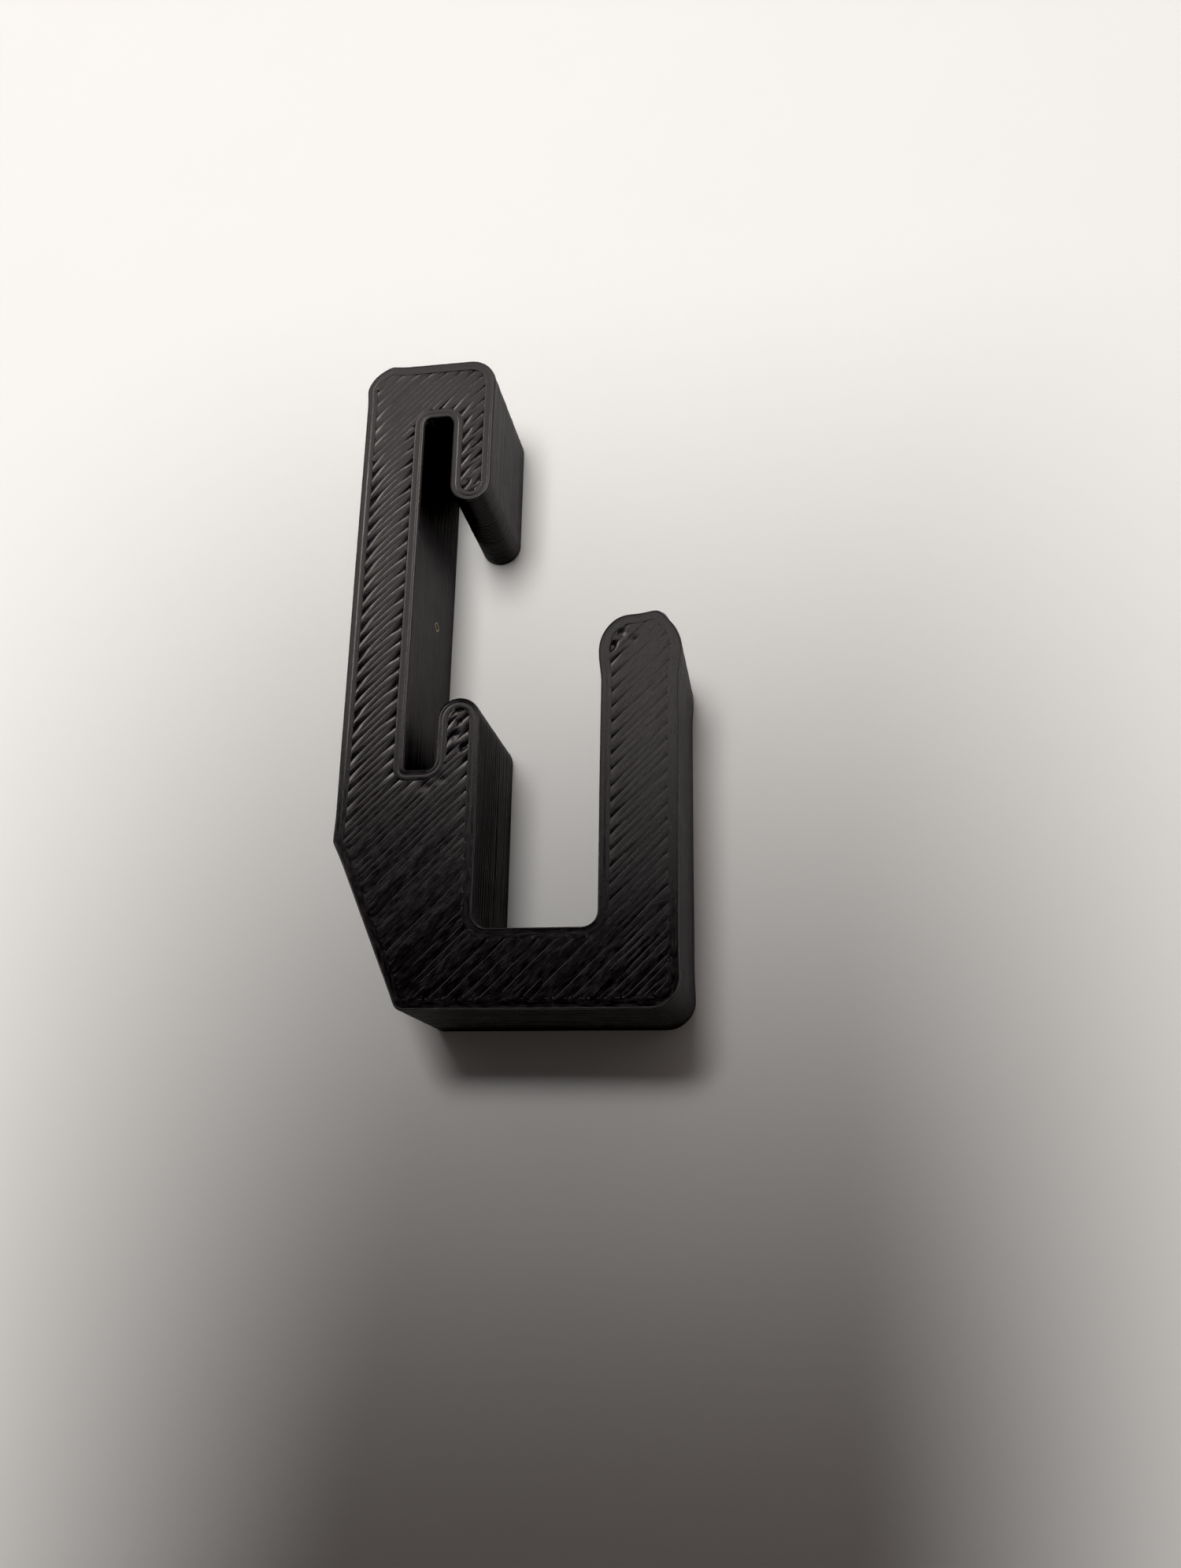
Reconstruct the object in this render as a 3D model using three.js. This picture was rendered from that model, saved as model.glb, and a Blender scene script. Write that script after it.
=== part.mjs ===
// Headphone hook: one 3-D printed piece that grips a flat strip or panel edge in a narrow slot
// and carries a headband in a square cradle.
//
// The piece is a single outline extruded in the direction it was printed. Millimetres.
// It lies on the side that was printed first: +Z is its thickness, +Y points up when it is in use,
// and +X points from the spine towards the cradle's arm. The origin is at the middle of the
// underside of its bounding box.

import * as THREE from 'three';

// ---- driving dimensions, millimetres ----

const OVERALL_HEIGHT = 54.0;      // underside of the floor to the top of the bridge
const THICKNESS = 11.4;           // width of the print, along Z

const SPINE_WIDTH = 5.2;          // the tall back bar
const SLOT_WIDTH = 2.3;           // takes the strip that the hook grips
const JAW_WIDTH = 3.5;            // the finger above and the lip below
const CRADLE_GAP = 9.1;           // clear width between the lip and the arm
const ARM_WIDTH = 6.0;
const KNOB_RADIUS = 3.2;          // the swollen end of the arm, a little wider than the arm
const KNOB_FROM_SPINE = 23.2;     // spine's outer face to the knob's centre

const FLOOR_HEIGHT = 6.0;         // thickness of the cradle's floor
const SLOT_BOTTOM = 18.2;
const SLOT_TOP = 48.7;
const LIP_TOP = 23.9;             // highest point of the lip's round end
const FINGER_BOTTOM = 40.8;       // lowest point of the finger's round end
const KNOB_TOP = 30.4;

const CUT_HEIGHT = 12.7;          // the corner cut away from the spine's foot
const CUT_WIDTH = 5.6;

const OUTER_RADIUS = 2.2;         // both top corners and the corner under the arm
const CUT_RADIUS_TOP = 0.6;
const CUT_RADIUS_FOOT = 1.0;
const CRADLE_RADIUS = 1.1;        // inner corners of the cradle
const SLOT_RADIUS_TOP = 0.55;
const SLOT_RADIUS_LIP = 0.75;     // slot's lower corner, on the lip's side

const ARC_STEPS = 10;             // steps in each half of an arc

// ---- places worked out from the driving dimensions ----

const slotBack = SPINE_WIDTH;
const slotFront = slotBack + SLOT_WIDTH;
const jawFace = slotFront + JAW_WIDTH;
const armInner = jawFace + CRADLE_GAP;
const armOuter = armInner + ARM_WIDTH;
const jawMiddle = (slotFront + jawFace) / 2;
const jawRadius = JAW_WIDTH / 2;
const overallWidth = KNOB_FROM_SPINE + KNOB_RADIUS;

// A straight run to a corner and an arc of the given radius round it, tangent to both sides.
function roundCorner(outline, before, corner, after, radius) {
  const at = new THREE.Vector2(...corner);
  const back = new THREE.Vector2(...before).sub(at).normalize();
  const ahead = new THREE.Vector2(...after).sub(at).normalize();
  const halfAngle = Math.acos(back.dot(ahead)) / 2;
  const bisector = back.clone().add(ahead).normalize();
  const centre = at.clone().addScaledVector(bisector, radius / Math.sin(halfAngle));
  const tangentLength = radius / Math.tan(halfAngle);
  const start = at.clone().addScaledVector(back, tangentLength).sub(centre);
  const end = at.clone().addScaledVector(ahead, tangentLength).sub(centre);
  const clockwise = back.cross(ahead) > 0;
  outline.absarc(centre.x, centre.y, radius, start.angle(), end.angle(), clockwise);
}

// The side view, anticlockwise from the foot, with its corner at the spine's outer face and the
// floor's underside.
function sideOutline() {
  const outline = new THREE.Shape();

  const cutFoot = [CUT_WIDTH, 0];
  const underArm = [armOuter, 0];
  const cradleRight = [armInner, FLOOR_HEIGHT];
  const cradleLeft = [jawFace, FLOOR_HEIGHT];
  const slotLip = [slotFront, SLOT_BOTTOM];
  const slotFoot = [slotBack, SLOT_BOTTOM];
  const slotTopBack = [slotBack, SLOT_TOP];
  const slotTopFront = [slotFront, SLOT_TOP];
  const topRight = [jawFace, OVERALL_HEIGHT];
  const topLeft = [0, OVERALL_HEIGHT];
  const cutTop = [0, CUT_HEIGHT];

  // the cut foot and the floor
  roundCorner(outline, cutTop, cutFoot, underArm, CUT_RADIUS_FOOT);
  roundCorner(outline, cutFoot, underArm, [armOuter, KNOB_TOP], OUTER_RADIUS);

  // the arm's end: an arc that starts and stops where it meets the arm's two faces
  const knobY = KNOB_TOP - KNOB_RADIUS;
  const knobStart = -Math.acos((armOuter - KNOB_FROM_SPINE) / KNOB_RADIUS);
  const knobEnd = Math.PI + Math.acos((KNOB_FROM_SPINE - armInner) / KNOB_RADIUS);
  outline.absarc(KNOB_FROM_SPINE, knobY, KNOB_RADIUS, knobStart, knobEnd, false);

  // the cradle
  roundCorner(outline, [armInner, KNOB_TOP], cradleRight, cradleLeft, CRADLE_RADIUS);
  roundCorner(outline, cradleRight, cradleLeft, [jawFace, LIP_TOP], CRADLE_RADIUS);

  // the lip's round end, then the slot, then the finger's round end
  outline.absarc(jawMiddle, LIP_TOP - jawRadius, jawRadius, 0, Math.PI, false);
  roundCorner(outline, [slotFront, LIP_TOP], slotLip, slotFoot, SLOT_RADIUS_LIP);
  outline.lineTo(...slotFoot);
  roundCorner(outline, slotFoot, slotTopBack, slotTopFront, SLOT_RADIUS_TOP);
  roundCorner(outline, slotTopBack, slotTopFront, [slotFront, FINGER_BOTTOM], SLOT_RADIUS_TOP);
  outline.absarc(jawMiddle, FINGER_BOTTOM + jawRadius, jawRadius, Math.PI, 2 * Math.PI, false);

  // the bridge over the slot and the spine's outer face
  roundCorner(outline, [jawFace, FINGER_BOTTOM], topRight, topLeft, OUTER_RADIUS);
  roundCorner(outline, topRight, topLeft, cutTop, OUTER_RADIUS);
  roundCorner(outline, topLeft, cutTop, cutFoot, CUT_RADIUS_TOP);
  outline.closePath();
  return outline;
}

// Black PLA as it leaves the printer: near black, between satin and gloss.
const blackPla = new THREE.MeshStandardMaterial({ color: 0x242325, roughness: 0.42, metalness: 0 });

function hookBody() {
  const geometry = new THREE.ExtrudeGeometry(sideOutline(), {
    depth: THICKNESS,
    bevelEnabled: false,
    curveSegments: ARC_STEPS,
  });
  geometry.translate(-overallWidth / 2, -OVERALL_HEIGHT / 2, 0);
  const mesh = new THREE.Mesh(geometry, blackPla);
  mesh.name = 'hook_body';
  return mesh;
}

const headphoneHook = new THREE.Group();
headphoneHook.add(hookBody());

export default headphoneHook;
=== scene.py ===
"""Headphone hook: one 3-D print in black PLA, lying on the side that was printed first.

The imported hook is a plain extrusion. This file gives it the surface that a printer leaves: walls of
stacked layers, two wall lines round the upper face, the zig-zag lines that fill that face, the
flattened first layer underneath, and a few small marks. Every length is in metres in the hook's own
frame, written as a number of millimetres times MM.
"""

import math

import bpy
import numpy as np
from bpy.props import FloatProperty, FloatVectorProperty, IntProperty, PointerProperty, StringProperty
from bpy.types import Operator, Panel, PropertyGroup
from mathutils import Matrix, Vector


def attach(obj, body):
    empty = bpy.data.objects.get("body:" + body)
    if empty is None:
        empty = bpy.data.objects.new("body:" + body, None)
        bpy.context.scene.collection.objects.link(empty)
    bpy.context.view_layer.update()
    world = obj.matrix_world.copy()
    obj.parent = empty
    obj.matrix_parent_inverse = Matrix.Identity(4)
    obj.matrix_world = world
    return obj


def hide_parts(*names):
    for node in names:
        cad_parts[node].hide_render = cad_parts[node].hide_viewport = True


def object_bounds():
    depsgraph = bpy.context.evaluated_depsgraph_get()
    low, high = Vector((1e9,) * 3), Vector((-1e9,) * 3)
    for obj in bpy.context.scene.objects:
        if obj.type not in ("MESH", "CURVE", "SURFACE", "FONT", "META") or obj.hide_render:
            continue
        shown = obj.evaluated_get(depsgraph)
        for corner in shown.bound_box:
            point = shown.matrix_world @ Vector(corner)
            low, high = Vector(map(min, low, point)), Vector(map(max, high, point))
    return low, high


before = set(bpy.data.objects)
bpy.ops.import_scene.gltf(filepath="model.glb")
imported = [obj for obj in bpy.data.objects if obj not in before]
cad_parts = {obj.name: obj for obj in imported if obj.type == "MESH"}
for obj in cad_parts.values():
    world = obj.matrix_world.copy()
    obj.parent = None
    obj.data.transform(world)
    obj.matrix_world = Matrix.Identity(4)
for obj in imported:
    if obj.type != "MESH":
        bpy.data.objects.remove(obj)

bl_info = {
    "name": "Printed headphone hook",
    "version": (1, 0, 0),
    "blender": (4, 5, 0),
    "location": "3D View > Sidebar > Hook",
    "description": "Builds the printed surface, the small marks and the table of a headphone hook",
    "category": "Object",
}

MM = 0.001
BODY = "root"
CAD_NODE = "hook_body"
CAD_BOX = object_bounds()
LOW = np.array(CAD_BOX[0])
HIGH = np.array(CAD_BOX[1])
SEED = 11


# ---- settings that a user would change ----

def number(name, value, description, **limits):
    """A number. limits are the property's own settings, such as its unit or its least value."""
    return FloatProperty(name=name, description=description, default=value, **limits)


def length(name, millimetres, description):
    """A length with its default given in millimetres."""
    return number(name, millimetres * MM, description, unit="LENGTH", precision=5, min=0.0)


def amount(name, value, description):
    """A number between 0 and 1."""
    return number(name, value, description, min=0.0, max=1.0)


def point(name, value, description):
    """A place in the hook's frame."""
    return FloatVectorProperty(name=name, description=description, size=3, default=value, subtype="XYZ",
                               unit="LENGTH")


def hex_colour(name, value, description):
    """An sRGB colour written as a hex text."""
    return StringProperty(name=name, description=description, default=value, maxlen=7)


class HookShape(PropertyGroup):
    """Sizes of the hook's side view, measured from the spine's outer face and the floor's underside."""
    spine_width: length("Spine", 5.2, "Width of the tall back bar")
    slot_width: length("Slot", 2.3, "Clear width of the slot that grips a strip")
    jaw_width: length("Jaws", 3.5, "Width of the finger and of the lip")
    cradle_gap: length("Cradle", 9.1, "Clear width between the lip and the arm")
    arm_width: length("Arm", 6.0, "Width of the arm")
    floor_height: length("Floor", 6.0, "Thickness of the cradle's floor")
    slot_bottom: length("Slot bottom", 18.2, "Height of the slot's lower end")
    slot_top: length("Slot top", 48.7, "Height of the slot's upper end")
    lip_top: length("Lip top", 23.9, "Highest point of the lip's round end")
    finger_bottom: length("Finger end", 40.8, "Lowest point of the finger's round end")
    arm_top: length("Arm top", 30.2, "Highest point of the arm's round end before it swells")
    cut_height: length("Cut height", 12.7, "Height of the corner cut from the spine's foot")
    cut_width: length("Cut width", 5.6, "Width of the corner cut from the spine's foot")
    outer_radius: length("Outer radius", 2.2, "Both top corners and the corner under the arm")
    foot_radius: length("Foot radius", 1.0, "Corner where the cut meets the floor's underside")
    cut_radius: length("Cut radius", 0.6, "Corner where the cut meets the spine")
    cradle_radius: length("Cradle radius", 1.1, "Inner corners of the cradle")
    slot_radius: length("Slot radius", 0.55, "Upper corners of the slot")
    lip_radius: length("Lip radius", 0.75, "Slot's lower corner on the lip's side")
    sharp_radius: length("Sharpest radius", 0.15, "The tightest corner that the nozzle leaves")


class HookPrint(PropertyGroup):
    """How the hook was printed."""
    layers: IntProperty(name="Layers", description="Printed layers through the hook's width", default=57,
                        min=2)
    line_pitch: length("Line pitch", 0.436, "Spacing of the lines on the upper and lower faces")
    turn_inset: length("Turn inset", 0.72, "How far inside the edge the zig-zag lines turn back")
    groove: length("Layer groove", 0.075, "Depth of the groove between two layers")
    wobble: length("Layer wobble", 0.007, "How far a layer strays from the one below")
    wall_drop: length("Wall-line groove", 0.018, "Depth of the groove between two wall lines on the faces")
    skin_drop: length("Skin groove", 0.021, "Depth of the groove between two lines of the upper face")
    turn_drop: length("Turn groove", 0.035, "Depth of the groove where the zig-zag turns")
    turn_lean: length("Turn lean", 0.16, "How far a line's outer side falls away beside its turn")
    seam_height: length("Seam", 0.24, "How far the layer seam stands out on the arm's end")


class HookPlastic(PropertyGroup):
    """Finish of the plastic."""
    black: hex_colour("Plastic", "#1A191B", "Black PLA: near black, a touch warm")
    pale: hex_colour("Stressed plastic", "#D6C8A0", "The same plastic where it was stretched or scraped")
    wall_roughness: amount("Wall roughness", 0.35, "Roughness of the side walls")
    skin_roughness: amount("Skin roughness", 0.22, "Roughness of the upper face's lines")
    base_roughness: amount("Base roughness", 0.30, "Roughness of the first layer, smooth from the bed")


class HookStage(PropertyGroup):
    """Table, light and camera."""
    table: hex_colour("Table", "#E8E6E4", "Warm pale table top")
    light_height: number("Light height", 0.6, "Height of the soft ceiling light", unit="LENGTH")
    light_radiance: number("Light radiance", 19.2, "Brightness of the ceiling light", min=0.0)
    fill: number("Fill", 0.04, "Strength of the dim room round the table", min=0.0)
    camera_place: point("Camera place", (0.02186, -0.04014, 0.10296), "Where the camera is")
    camera_aim: point("Camera aim", (0.00538, -0.00866, 0.0059), "Point that the camera looks at")
    camera_roll: number("Camera roll", math.radians(0.99), "Turn about the line of sight",
                        subtype="ANGLE", unit="ROTATION")
    lens: number("Lens", 30.46, "Focal length on a sensor 36 mm long", subtype="DISTANCE_CAMERA")


# ---- plane geometry of the side view ----

def side_view(s):
    """The side view as rows of x, y and corner radius, anticlockwise from the cut foot.

    Each end of the finger, the lip and the arm is two corners whose radius is half the width, so
    that their arcs meet in a half circle."""
    slot_front = s.spine_width + s.slot_width
    jaw_face = slot_front + s.jaw_width
    arm_inner = jaw_face + s.cradle_gap
    arm_outer = arm_inner + s.arm_width
    height = HIGH[1] - LOW[1]
    tip = s.jaw_width / 2
    end = s.arm_width / 2
    rows = np.array([
        (s.cut_width, 0.0, s.foot_radius),
        (arm_outer, 0.0, s.outer_radius),
        (arm_outer, s.arm_top, end),
        (arm_inner, s.arm_top, end),
        (arm_inner, s.floor_height, s.cradle_radius),
        (jaw_face, s.floor_height, s.cradle_radius),
        (jaw_face, s.lip_top, tip),
        (slot_front, s.lip_top, tip),
        (slot_front, s.slot_bottom, s.lip_radius),
        (s.spine_width, s.slot_bottom, s.sharp_radius),
        (s.spine_width, s.slot_top, s.slot_radius),
        (slot_front, s.slot_top, s.slot_radius),
        (slot_front, s.finger_bottom, tip),
        (jaw_face, s.finger_bottom, tip),
        (jaw_face, height, s.outer_radius),
        (0.0, height, s.outer_radius),
        (0.0, s.cut_height, s.cut_radius),
    ])
    rows[:, :2] += LOW[:2]
    return rows


def left_of(direction):
    """Directions turned a quarter turn anticlockwise."""
    return np.stack([-direction[..., 1], direction[..., 0]], axis=-1)


def unit(vectors):
    """Vectors scaled to length one."""
    return vectors / np.linalg.norm(vectors, axis=-1, keepdims=True)


class Outline:
    """The side view moved inwards by an inset, and cut into points that match between insets.

    A corner moves along its bisector until it is the inset from both sides. An outer corner's
    radius shrinks by the inset and an inner corner's grows, so every arc keeps its centre. Every
    arc and every straight has the same number of points at any inset."""

    STRAIGHT_STEP = 0.62 * MM
    ARC_STEP = 0.24 * MM
    SMALLEST_RADIUS = 0.05 * MM

    def __init__(self, rows, inset=0.0):
        here, radius = rows[:, :2], rows[:, 2]
        ahead = unit(np.roll(here, -1, axis=0) - here)
        behind = np.roll(ahead, 1, axis=0)
        bisector = left_of(ahead) + left_of(behind)
        bisector /= (1 + np.sum(ahead * behind, axis=1))[:, None]
        turn = np.arctan2(behind[:, 0] * ahead[:, 1] - behind[:, 1] * ahead[:, 0],
                          np.sum(ahead * behind, axis=1))
        side = np.sign(turn)
        inner_radius = np.maximum(radius - side * inset, self.SMALLEST_RADIUS)
        centre = here + bisector * (inset + side * inner_radius)[:, None]
        first_angle = np.arctan2(-left_of(behind)[:, 1], -left_of(behind)[:, 0])
        tangent = radius * np.tan(np.abs(turn) / 2)
        gap = np.linalg.norm(np.roll(here, -1, axis=0) - here, axis=1) - tangent - np.roll(tangent, -1)
        arc_steps = np.maximum(5, np.round(np.abs(turn) * radius / self.ARC_STEP)).astype(int)
        straight_steps = np.maximum(0, np.round(gap / self.STRAIGHT_STEP).astype(int) - 1)

        points, outward = [], []
        for i in range(len(rows)):
            angle = first_angle[i] + turn[i] * np.linspace(0, 1, arc_steps[i] + 1)
            if gap[i - 1] < self.SMALLEST_RADIUS:
                angle = angle[1:]          # its first point is the last arc's last one
            away = np.stack([np.cos(angle), np.sin(angle)], axis=1)
            points.append(centre[i] + away * side[i] * inner_radius[i])
            outward.append(away)
            j = (i + 1) % len(rows)
            start = points[-1][-1]
            next_away = np.array([np.cos(first_angle[j]), np.sin(first_angle[j])])
            end = centre[j] + next_away * side[j] * inner_radius[j]
            share = np.arange(1, straight_steps[i] + 1)[:, None] / (straight_steps[i] + 1)
            points.append(start + (end - start) * share)
            outward.append(np.repeat(next_away[None], straight_steps[i], axis=0))
        self.points = np.concatenate(points)
        self.outward = np.concatenate(outward)
        steps = np.linalg.norm(np.diff(self.points, axis=0), axis=1)
        self.along = np.concatenate([[0.0], np.cumsum(steps)])
        self.whole = self.along[-1] + np.linalg.norm(self.points[0] - self.points[-1])

    def distance_from(self, x, y):
        """Signed distance along the outline from the place nearest to x, y, which count from the
        spine's outer face and the floor's underside."""
        place = np.array([x, y]) + LOW[:2]
        nearest = np.argmin(np.linalg.norm(self.points - place, axis=1))
        away = self.along - self.along[nearest]
        return (away + self.whole / 2) % self.whole - self.whole / 2


def blurred_noise(rng, rows, columns, blur):
    """Random numbers blurred round a closed row: noise whose bumps are about blur columns wide."""
    waves = np.fft.rfft(rng.normal(size=(rows, columns)), axis=1)
    waves *= np.exp(-2 * (np.pi * np.arange(waves.shape[1]) * blur / columns) ** 2)
    noise = np.fft.irfft(waves, columns, axis=1)
    return noise / noise.std()


def soft_step(value, low, high):
    """0 below low, 1 above high, and a smooth cubic in between."""
    t = np.clip((value - low) / (high - low), 0.0, 1.0)
    return t * t * (3 - 2 * t)


SEAM_ANGLE = math.radians(64)          # where the seam is on the arm's round end, up from +X
KNOB_SWELL = 0.22 * MM                 # how far the arm's end stands out at the top of the print
KNOB_REACH = (4.9 * MM, 7.2 * MM)      # from the arm's tip: where that starts to fade, and its end


def swelling(shape, settings, outline, height_share):
    """How far the wall stands out from its drawn line, for each height and each outline point.

    It is a sum of bell curves along the outline. Each has a height, a spread, the share of it that
    is there at the base, and how far it wanders from layer to layer."""
    rng = np.random.default_rng(SEED)
    arm_middle = (shape.spine_width + shape.slot_width + shape.jaw_width + shape.cradle_gap
                  + shape.arm_width / 2)
    knob = shape.arm_width / 2
    arm_outer = arm_middle + knob
    corner = shape.outer_radius * (1 - math.sqrt(0.5))
    height = HIGH[1] - LOW[1]
    peak = (arm_middle + knob * math.cos(SEAM_ANGLE), shape.arm_top - knob + knob * math.sin(SEAM_ANGLE))
    # each: place on the outline, height, spread, share at the base, wander
    bells = [
        # the seam's peak on the arm's end, and the dent beside it
        (peak, settings.seam_height, 0.42 * MM, 0.7, 0.12 * MM),
        ((arm_middle - 0.3 * MM, shape.arm_top), -0.30 * MM, 0.75 * MM, 0.6, 0.05 * MM),
        # the spine's upper corner is cut short, with a bump at each of its ends
        ((corner, height - corner), -0.06 * MM, 0.8 * MM, 0.8, 0.04 * MM),
        ((shape.outer_radius, height), 0.15 * MM, 0.38 * MM, 0.8, 0.06 * MM),
        ((0.0, height - shape.outer_radius - 0.3 * MM), 0.10 * MM, 0.45 * MM, 0.8, 0.06 * MM),
        # the nozzle slows at three more corners and leaves a little more there
        ((0.0, shape.cut_height), 0.07 * MM, 0.9 * MM, 0.9, 0.04 * MM),
        ((arm_outer, shape.outer_radius + 0.3 * MM), 0.07 * MM, 1.0 * MM, 1.2, 0.04 * MM),
        ((shape.cut_width, 0.0), 0.04 * MM, 0.5 * MM, 1.0, 0.04 * MM),
    ]
    total = np.zeros((len(height_share), len(outline.points)))
    for place, tall, spread, base, wander in bells:
        shift = rng.normal(0, wander, len(height_share))
        scale = (base + (1 - base) * height_share) * rng.normal(1, 0.12, len(height_share))
        away = outline.distance_from(*place)[None] - shift[:, None]
        total += tall * scale[:, None] * np.exp(-0.5 * (away / spread) ** 2)
    # the arm's end is a knob, wider than the arm, and it grew with the height of the print
    tip = np.abs(outline.distance_from(arm_middle, shape.arm_top))
    knob_height = KNOB_SWELL * (0.45 + 0.55 * height_share)
    total += knob_height[:, None] * (1 - soft_step(tip, *KNOB_REACH))[None]
    return total


# ---- meshes and materials ----

def make_piece(context, name, vertices, faces, materials, along=None, tone=None):
    """A mesh object in the hook's frame. along is a UV for each vertex and tone a number for each."""
    mesh = bpy.data.meshes.new(name)
    mesh.from_pydata(vertices.tolist(), [], faces)
    mesh.polygons.foreach_set("use_smooth", [len(f) == 4 for f in faces])
    if along is not None:
        index = np.zeros(len(mesh.loops), dtype=np.int32)
        mesh.loops.foreach_get("vertex_index", index)
        mesh.uv_layers.new(name="along").data.foreach_set("uv", along[index].ravel())
    if tone is not None:
        mesh.attributes.new("tone", "FLOAT", "POINT").data.foreach_set("value", tone)
    for material in materials:
        mesh.materials.append(material)
    mesh.update()
    piece = bpy.data.objects.new(name, mesh)
    context.collection.objects.link(piece)
    return piece


def grid_faces(rows, columns, closed, first=0):
    """Quads between the points of a grid that is numbered row by row, closed along each row or not."""
    row = np.arange(rows - 1)[:, None] * columns
    column = np.arange(columns if closed else columns - 1)[None]
    beside = (column + 1) % columns
    quads = np.stack([row + column, row + beside, row + columns + beside, row + columns + column], axis=-1)
    return (quads.reshape(-1, 4) + first).tolist()


def linear(hex_text):
    """An sRGB hex colour as linear red, green, blue and alpha."""
    srgb = np.array([int(hex_text[i:i + 2], 16) for i in (1, 3, 5)]) / 255
    return (*np.where(srgb <= 0.04045, srgb / 12.92, ((srgb + 0.055) / 1.055) ** 2.4), 1.0)


def add_node(tree, kind, settings=None, **sockets):
    """Adds a node. settings are its own properties. Each socket gets a value, or a link from another
    node's output. A socket is named in lower case with _ for a space, or as in_0, in_1 by number."""
    node = tree.nodes.new(kind)
    for key, value in (settings or {}).items():
        setattr(node, key, value)
    for key, value in sockets.items():
        if key.startswith("in_"):
            socket = node.inputs[int(key[3:])]
        else:
            socket = next(i for i in node.inputs if i.name.lower().replace(" ", "_") == key)
        if isinstance(value, bpy.types.NodeSocket):
            tree.links.new(value, socket)
        else:
            socket.default_value = value
    return node


def new_material(name):
    """An empty node material and its tree."""
    material = bpy.data.materials.new(name)
    material.use_nodes = True
    material.node_tree.nodes.clear()
    return material, material.node_tree


def finish_material(tree, **sockets):
    """Adds the surface shader with these sockets and joins it to the material's output."""
    shader = add_node(tree, "ShaderNodeBsdfPrincipled", **sockets)
    add_node(tree, "ShaderNodeOutputMaterial", surface=shader.outputs[0])


def remap(tree, value, from_range, to_range, settings=None):
    """A value stretched from one range to another, and held at its ends."""
    return add_node(tree, "ShaderNodeMapRange", settings, value=value, from_min=from_range[0],
                    from_max=from_range[1], to_min=to_range[0], to_max=to_range[1]).outputs[0]


def maths(tree, operation, *values):
    """The result of a sum on numbers or other nodes' outputs."""
    inputs = {f"in_{i}": value for i, value in enumerate(values)}
    return add_node(tree, "ShaderNodeMath", {"operation": operation}, **inputs).outputs[0]


PER_MM = 1 / MM      # a noise scale that gives features one millimetre across


def noise(tree, vector, scale, detail):
    """A noise between 0 and 1, at a number of features for each unit of the vector."""
    return add_node(tree, "ShaderNodeTexNoise", vector=vector, scale=scale, detail=detail).outputs["Fac"]


def bump(tree, height, distance, **below):
    """The normal of a bump at full strength. below may hold the normal that it lies on."""
    return add_node(tree, "ShaderNodeBump", height=height, distance=distance, strength=1.0,
                    **below).outputs[0]


def printed_black(name, colours, roughness, spread, grain, streak):
    """Semi-gloss black PLA off the nozzle: the eye gets a dark grey with soft, broken highlights.

    roughness wanders by spread in patches of about 2 mm, as the plastic cools unevenly. grain is a
    bump of about 0.06 mm specks, drawn coarser than the real haze so that it shows. streak is a bump
    stretched along the layers or lines, which the nozzle drags out."""
    material, tree = new_material(name)
    place = add_node(tree, "ShaderNodeTexCoord").outputs["Object"]
    patches = noise(tree, place, 0.5 * PER_MM, 3.0)
    rough = remap(tree, patches, (0.3, 0.7), (roughness - spread, roughness + spread))
    specks = noise(tree, place, 16 * PER_MM, 2.0)
    layered = add_node(tree, "ShaderNodeMapping", vector=place, scale=(0.6, 0.6, 9.0))
    drag = noise(tree, layered.outputs[0], 1.0 * PER_MM, 4.0)
    dragged = bump(tree, drag, streak, normal=bump(tree, specks, grain))
    finish_material(tree, base_color=linear(colours.black), roughness=rough, ior=1.34, normal=dragged)
    return material


def skin_black(name, colours):
    """The upper face's lines in the same plastic: each line was ironed a little differently.

    The tone attribute gives each line its own roughness, and a noise stretched along the line
    breaks its highlight into strokes."""
    material, tree = new_material(name)
    place = add_node(tree, "ShaderNodeTexCoord").outputs["Object"]
    line = add_node(tree, "ShaderNodeUVMap", {"uv_map": "along"})
    tone = add_node(tree, "ShaderNodeAttribute", {"attribute_name": "tone"})
    stretched = add_node(tree, "ShaderNodeMapping", vector=line.outputs[0], scale=(1.2, 5.0, 1.0))
    strokes = add_node(tree, "ShaderNodeTexNoise", {"noise_dimensions": "2D"}, vector=stretched.outputs[0],
                       scale=1.0, detail=3.0)
    stroke_rough = remap(tree, strokes.outputs["Fac"], (0.3, 0.7),
                         (colours.skin_roughness - 0.07, colours.skin_roughness + 0.07))
    rough = maths(tree, "MULTIPLY_ADD", tone.outputs["Fac"], 0.04, stroke_rough)
    specked = bump(tree, noise(tree, place, 5 * PER_MM, 3.0), 0.004 * MM)
    dragged = bump(tree, strokes.outputs["Fac"], 0.0035 * MM, normal=specked)
    finish_material(tree, base_color=linear(colours.black), roughness=rough, ior=1.46, normal=dragged)
    return material


def stressed_plastic(colours):
    """The same plastic stretched thin: pale and matt, a touch warm."""
    material, tree = new_material("stressed_pla")
    place = add_node(tree, "ShaderNodeTexCoord").outputs["Object"]
    tint = add_node(tree, "ShaderNodeMix", {"data_type": "RGBA"}, in_0=noise(tree, place, 6 * PER_MM, 2.0),
                    in_6=linear(colours.black), in_7=linear(colours.pale))
    finish_material(tree, base_color=tint.outputs[2], roughness=0.6)
    return material


def settle(piece, *nodes):
    """The piece rides on the hook and stands for the named CAD nodes, which are hidden."""
    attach(piece, BODY)
    if nodes:
        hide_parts(*nodes)


# ---- the printed body: walls, wall lines on the faces, and the floors that close it ----

WALL_LINES = 2
DRAWN_IN = 0.05 * MM         # the widest part of a layer, this far inside the CAD hook's side
IRONED_DOWN = 0.012 * MM     # how far below the top a line lies where it is ironed flat


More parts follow.
